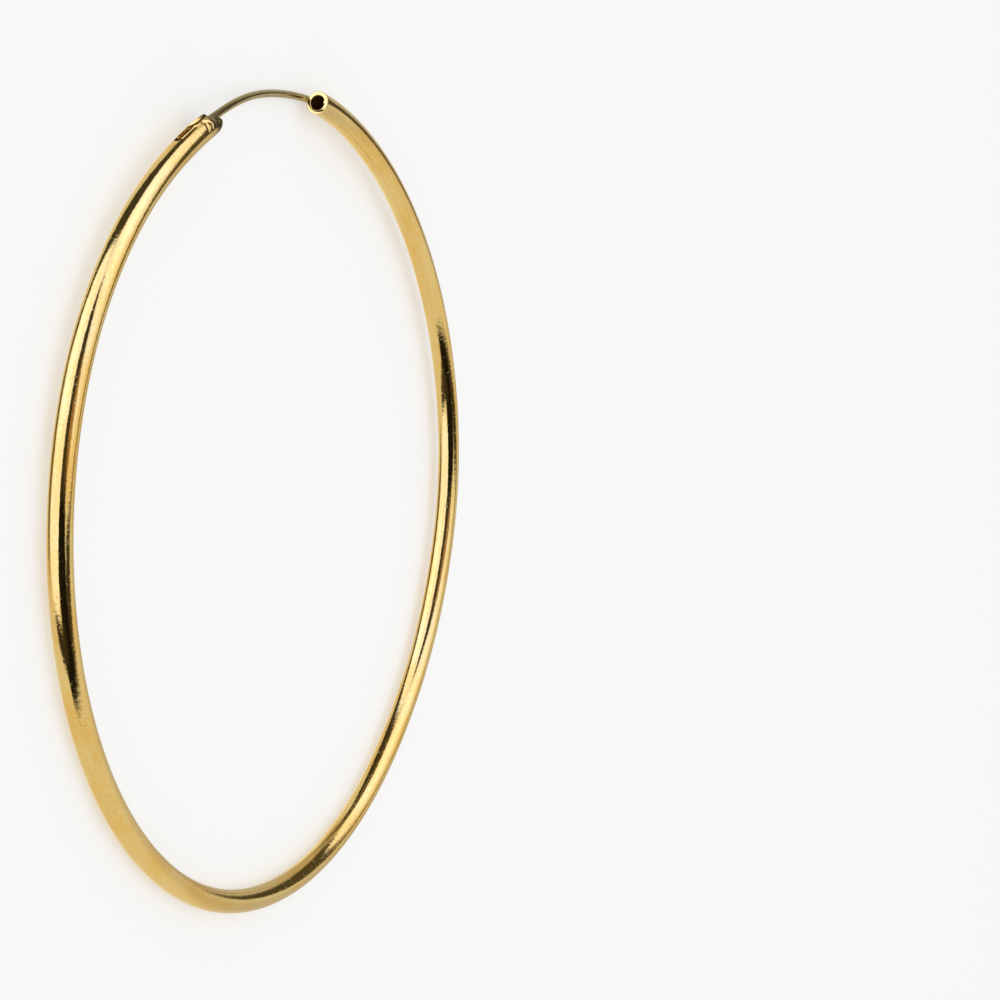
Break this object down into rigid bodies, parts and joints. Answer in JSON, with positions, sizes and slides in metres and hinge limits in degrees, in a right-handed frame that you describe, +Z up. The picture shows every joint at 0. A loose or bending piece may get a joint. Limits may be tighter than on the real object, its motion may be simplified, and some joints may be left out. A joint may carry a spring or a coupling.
{
  "type": "hoop earring",
  "caption": "Large gold-coloured endless hoop earring: a hollow round tube bent to a ring, with a thin ear wire across its gap.",
  "frame": {"origin": "centre of the tube's ring, on the surface that the earring lies on", "axes": "+Z up; the gap that the ear wire crosses is at +Y, with the tube's closed end on its -X side"},
  "size_m": [0.0702, 0.0696, 0.0029],
  "materials": {
    "gold_tube": "polished yellow gold colour with fine rubbing marks",
    "gold_wire": "drawn wire, paler and duller gold colour"
  },
  "bodies": {
    "root": {"hoop_tube": "gold_tube", "ear_wire": "gold_wire"}
  },
  "joints": []
}
